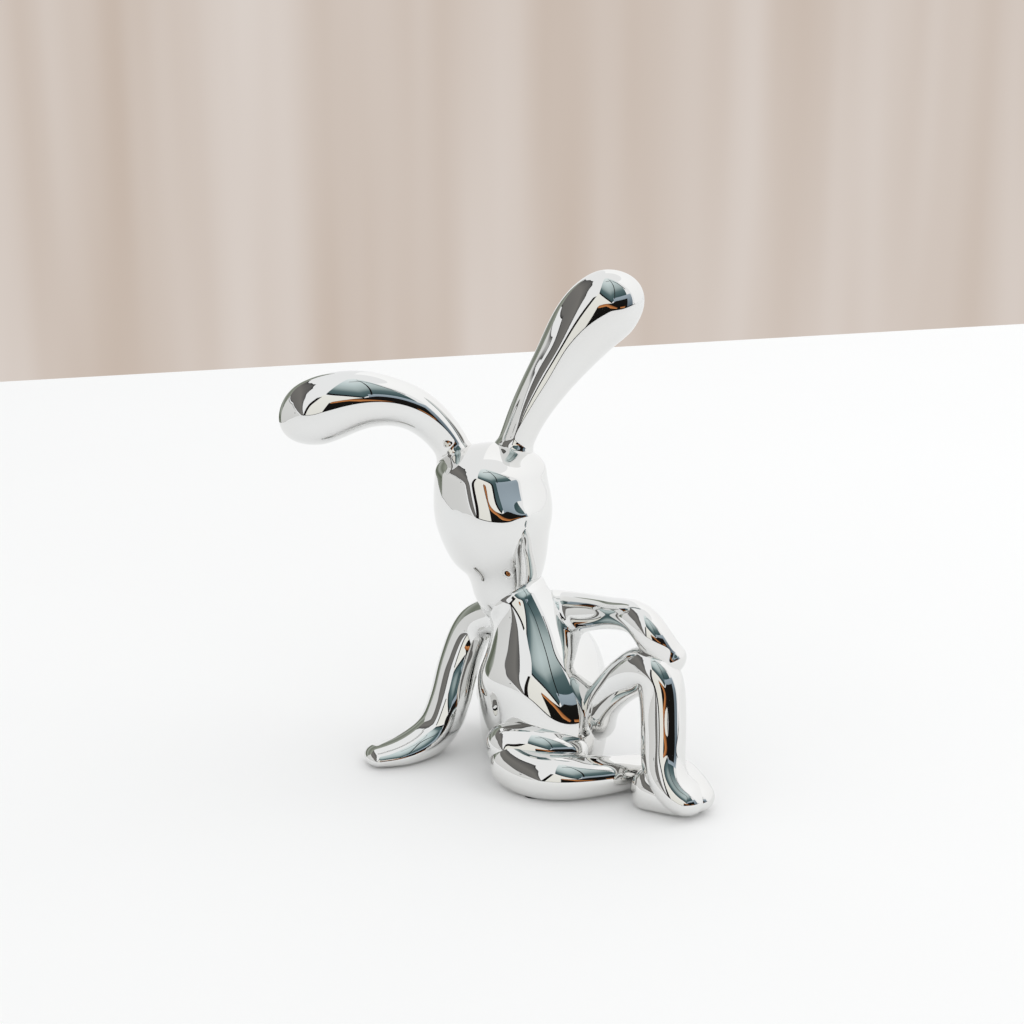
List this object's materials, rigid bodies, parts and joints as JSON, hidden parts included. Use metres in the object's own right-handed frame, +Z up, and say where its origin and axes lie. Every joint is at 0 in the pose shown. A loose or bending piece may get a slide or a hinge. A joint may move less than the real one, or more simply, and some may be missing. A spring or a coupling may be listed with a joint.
{
  "type": "rabbit figurine",
  "caption": "Mirror-plated sitting rabbit ornament, propped on one straight arm, with a raised knee, a folded leg, a drooping ear and a raised ear.",
  "frame": {"origin": "on the surface that the rabbit sits on, in the middle of the ornament's bounding box", "axes": "+Z up; the viewer of the picture stands on the -Y side; the rabbit's right hand is at -X and its raised left knee at +X"},
  "size_m": [0.1682, 0.097, 0.1938],
  "materials": {
    "plating": "mirror-polished silver plating over a cast body",
    "pin": "plain drawn steel pin",
    "pad": "matt rubber"
  },
  "bodies": {
    "root": {"torso": "plating", "head": "plating", "right_ear": "plating", "left_ear": "plating", "right_arm": "plating", "right_leg": "plating", "left_leg": "plating", "left_arm": "plating", "tail": "plating", "neck_pin": "pin", "right_ear_pin": "pin", "left_ear_pin": "pin", "right_shoulder_pin": "pin", "left_shoulder_pin": "pin", "right_hip_pin": "pin", "left_hip_pin": "pin", "tail_pin": "pin", "seat_pad": "pad", "right_hand_pad": "pad", "right_shin_pad": "pad", "left_foot_pad": "pad", "right_foot_pad": "pad"}
  },
  "joints": []
}
